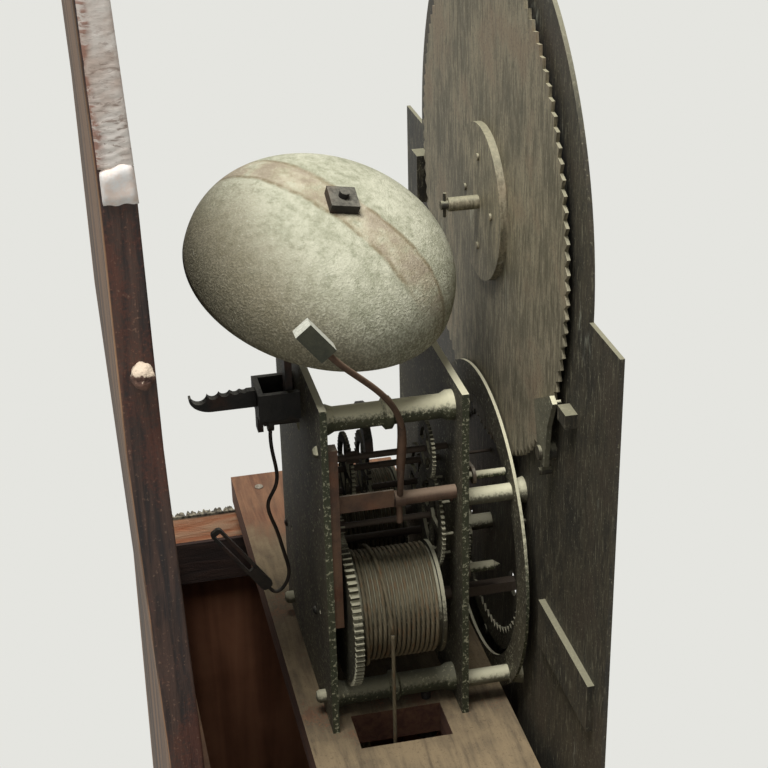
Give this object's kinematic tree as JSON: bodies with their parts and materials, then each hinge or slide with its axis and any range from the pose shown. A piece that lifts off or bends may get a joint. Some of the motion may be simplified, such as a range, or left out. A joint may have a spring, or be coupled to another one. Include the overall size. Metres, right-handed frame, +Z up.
{
  "type": "longcase clock",
  "caption": "Weight-driven striking clock movement with bell, arched moon dial and seatboard, in a tall wooden case with a trunk door; hood lifted off.",
  "frame": {"origin": "on the floor below the middle of the case", "axes": "+Z up, dial facing -Y, +X to the right of the dial"},
  "size_m": [0.525, 0.245, 2.08],
  "materials": {
    "dark_wood": "old dark varnished wood",
    "board_wood": "dark red-brown stained board",
    "seat_wood": "dusty raw wood",
    "batten_wood": "orange softwood with worm holes",
    "old_brass": "tarnished brass with green and grey patina",
    "wheel_brass": "worn tarnished brass",
    "pillar_brass": "pale tarnished brass",
    "bell_metal": "pale grey-green tarnished bell metal",
    "iron": "rusty dark iron",
    "hand_steel": "blued steel",
    "weight_iron": "cast iron",
    "line": "waxed gut line",
    "dial_metal": "painted iron dial, bare and stained behind",
    "moon_metal": "painted iron disc, bare behind"
  },
  "bodies": {
    "case": {"backboard": "board_wood", "trunk_side_left": "dark_wood", "trunk_side_right": "dark_wood", "cheek_battens": "batten_wood", "trunk_front_frame": "dark_wood", "hinge_leaves_case": "old_brass", "throat_moulding": "dark_wood", "waist_moulding": "dark_wood", "plinth_box": "dark_wood", "base_moulding": "dark_wood", "bracket_feet": "dark_wood", "seatboard": "seat_wood", "seat_bolts": "iron", "back_plate": "old_brass", "front_plate": "old_brass", "plate_pillars": "pillar_brass", "pillar_nuts": "pillar_brass", "back_cock": "iron", "bell_stand": "iron", "bell": "bell_metal", "hammer_spring": "iron", "false_plate": "old_brass", "dial_plate": "dial_metal", "dial_feet": "old_brass"},
    "door": {"trunk_door": "dark_wood", "hinge_leaves_door": "old_brass"},
    "strike_weight": {"strike_weight": "weight_iron", "strike_line_fall": "line", "strike_line_anchor": "line"},
    "going_weight": {"going_weight": "weight_iron", "going_line_fall": "line", "going_line_anchor": "line"},
    "strike_pulley": {"strike_pulley": "wheel_brass"},
    "going_pulley": {"going_pulley": "wheel_brass"},
    "strike_barrel": {"strike_barrel": "wheel_brass", "strike_great_wheel": "wheel_brass", "strike_line_winding": "line"},
    "going_barrel": {"going_barrel": "wheel_brass", "going_great_wheel": "wheel_brass", "going_line_winding": "line"},
    "pin_wheel": {"pin_wheel": "wheel_brass"},
    "gathering_wheel": {"gathering_wheel": "wheel_brass"},
    "warning_wheel": {"warning_wheel": "wheel_brass"},
    "fly": {"fly": "wheel_brass"},
    "centre_arbor": {"centre_wheel": "wheel_brass", "minute_hand": "hand_steel"},
    "third_wheel": {"third_wheel": "wheel_brass"},
    "minute_wheel": {"minute_wheel": "wheel_brass"},
    "hour_wheel": {"hour_wheel": "wheel_brass", "hour_hand": "hand_steel"},
    "escape_arbor": {"escape_wheel": "wheel_brass", "second_hand": "hand_steel"},
    "pallets": {"pallets": "iron"},
    "hammer": {"hammer": "iron"},
    "rack": {"rack": "iron"},
    "rack_hook": {"rack_hook": "iron"},
    "moon_disc": {"moon_disc": "moon_metal", "moon_hub": "old_brass"},
    "moon_jumper": {"moon_jumper": "iron"},
    "date_ring": {"date_ring": "old_brass"}
  },
  "joints": [
    {"name": "strike_weight_drop", "type": "slide", "parent": "case", "child": "strike_weight", "axis": [0, 0, -1], "range_m": [0, 1.1], "deforming": ["strike_line_fall", "strike_line_anchor"]},
    {"name": "going_weight_drop", "type": "slide", "parent": "case", "child": "going_weight", "axis": [0, 0, -1], "range_m": [0, 1.1], "deforming": ["going_line_fall", "going_line_anchor"]},
    {"name": "strike_barrel_turn", "type": "hinge", "parent": "case", "child": "strike_barrel", "pos_m": [-0.0415, -0.0025, 1.67637], "axis": [0, -1, 0], "range_deg": [0, 4673.5]},
    {"name": "pin_wheel_turn", "type": "hinge", "parent": "case", "child": "pin_wheel", "pos_m": [-0.0315, -0.0025, 1.71758], "axis": [0, -1, 0], "range_deg": [-42021.9, 0]},
    {"name": "gathering_wheel_turn", "type": "hinge", "parent": "case", "child": "gathering_wheel", "pos_m": [-0.022, -0.0025, 1.74429], "axis": [0, -1, 0], "range_deg": [0, 336140.2]},
    {"name": "strike_pulley_turn", "type": "hinge", "parent": "strike_weight", "child": "strike_pulley", "pos_m": [-0.0922, 0.0025, 1.54], "axis": [0, -1, 0], "range_deg": [-2963.9, 0]},
    {"name": "going_barrel_turn", "type": "hinge", "parent": "case", "child": "going_barrel", "pos_m": [0.0415, -0.0025, 1.67637], "axis": [0, -1, 0], "range_deg": [0, 4673.5]},
    {"name": "centre_arbor_turn", "type": "hinge", "parent": "case", "child": "centre_arbor", "pos_m": [0, -0.0025, 1.69], "axis": [0, -1, 0], "range_deg": [-56027.5, 0]},
    {"name": "third_wheel_turn", "type": "hinge", "parent": "case", "child": "third_wheel", "pos_m": [0.01229, -0.0025, 1.71234], "axis": [0, -1, 0], "range_deg": [0, 420174]},
    {"name": "minute_wheel_turn", "type": "hinge", "parent": "case", "child": "minute_wheel", "pos_m": [-0.0145, -0.0455, 1.71061], "axis": [0, -1, 0], "range_deg": [0, 56027.5]},
    {"name": "hour_wheel_turn", "type": "hinge", "parent": "case", "child": "hour_wheel", "pos_m": [0, -0.0495, 1.69], "axis": [0, -1, 0], "range_deg": [-4673.5, 0]},
    {"name": "going_pulley_turn", "type": "hinge", "parent": "going_weight", "child": "going_pulley", "pos_m": [0.0334, 0.0025, 1.54], "axis": [0, -1, 0], "range_deg": [0, 2963.9]},
    {"name": "warning_wheel_turn", "type": "hinge", "parent": "case", "child": "warning_wheel", "pos_m": [-0.038, -0.0025, 1.75914], "axis": [0, -1, 0], "continuous": true},
    {"name": "fly_turn", "type": "hinge", "parent": "case", "child": "fly", "pos_m": [-0.03, -0.0025, 1.77431], "axis": [0, -1, 0], "continuous": true},
    {"name": "escape_wheel_turn", "type": "hinge", "parent": "case", "child": "escape_arbor", "pos_m": [0, -0.0025, 1.732], "axis": [0, -1, 0], "continuous": true},
    {"name": "pallets_swing", "type": "hinge", "parent": "case", "child": "pallets", "pos_m": [0, 0.0225, 1.7635], "axis": [0, -1, 0], "range_deg": [-2.6, 2.6]},
    {"name": "hammer_swing", "type": "hinge", "parent": "case", "child": "hammer", "pos_m": [-0.054, -0.0025, 1.7425], "axis": [0, -1, 0], "range_deg": [-1, 8]},
    {"name": "rack_swing", "type": "hinge", "parent": "case", "child": "rack", "pos_m": [-0.045, -0.0417, 1.6915], "axis": [0, -1, 0], "range_deg": [0, 5.5]},
    {"name": "hook_swing", "type": "hinge", "parent": "case", "child": "rack_hook", "pos_m": [-0.05, -0.0435, 1.7475], "axis": [0, -1, 0], "range_deg": [0, 12]},
    {"name": "moon_turn", "type": "hinge", "parent": "case", "child": "moon_disc", "pos_m": [0, -0.0615, 1.8682], "axis": [0, -1, 0], "continuous": true},
    {"name": "jumper_swing", "type": "hinge", "parent": "case", "child": "moon_jumper", "pos_m": [-0.102, -0.0615, 1.785], "axis": [0, -1, 0], "range_deg": [-1, 6]},
    {"name": "date_ring_turn", "type": "hinge", "parent": "case", "child": "date_ring", "pos_m": [0, -0.0661, 1.69], "axis": [0, -1, 0], "continuous": true},
    {"name": "door_hinge", "type": "hinge", "parent": "case", "child": "door", "pos_m": [0.1495, -0.084, 0.99], "axis": [0, 0, 1], "range_deg": [0, 110]}
  ],
  "couplings": [
    {"joint": "strike_barrel_turn", "follows": "strike_weight_drop", "rad_per_m": 74.074},
    {"joint": "pin_wheel_turn", "follows": "strike_weight_drop", "rad_per_m": -666.67},
    {"joint": "gathering_wheel_turn", "follows": "strike_weight_drop", "rad_per_m": 5333.3},
    {"joint": "strike_pulley_turn", "follows": "strike_weight_drop", "rad_per_m": -46.948},
    {"joint": "going_barrel_turn", "follows": "going_weight_drop", "rad_per_m": 74.074},
    {"joint": "centre_arbor_turn", "follows": "going_weight_drop", "rad_per_m": -888.89},
    {"joint": "third_wheel_turn", "follows": "going_weight_drop", "rad_per_m": 6666.7},
    {"joint": "minute_wheel_turn", "follows": "going_weight_drop", "rad_per_m": 888.89},
    {"joint": "hour_wheel_turn", "follows": "going_weight_drop", "rad_per_m": -74.074},
    {"joint": "going_pulley_turn", "follows": "going_weight_drop", "rad_per_m": 46.948},
    {"joint": "warning_wheel_turn", "follows": "fly_turn", "ratio": -0.16667}
  ]
}
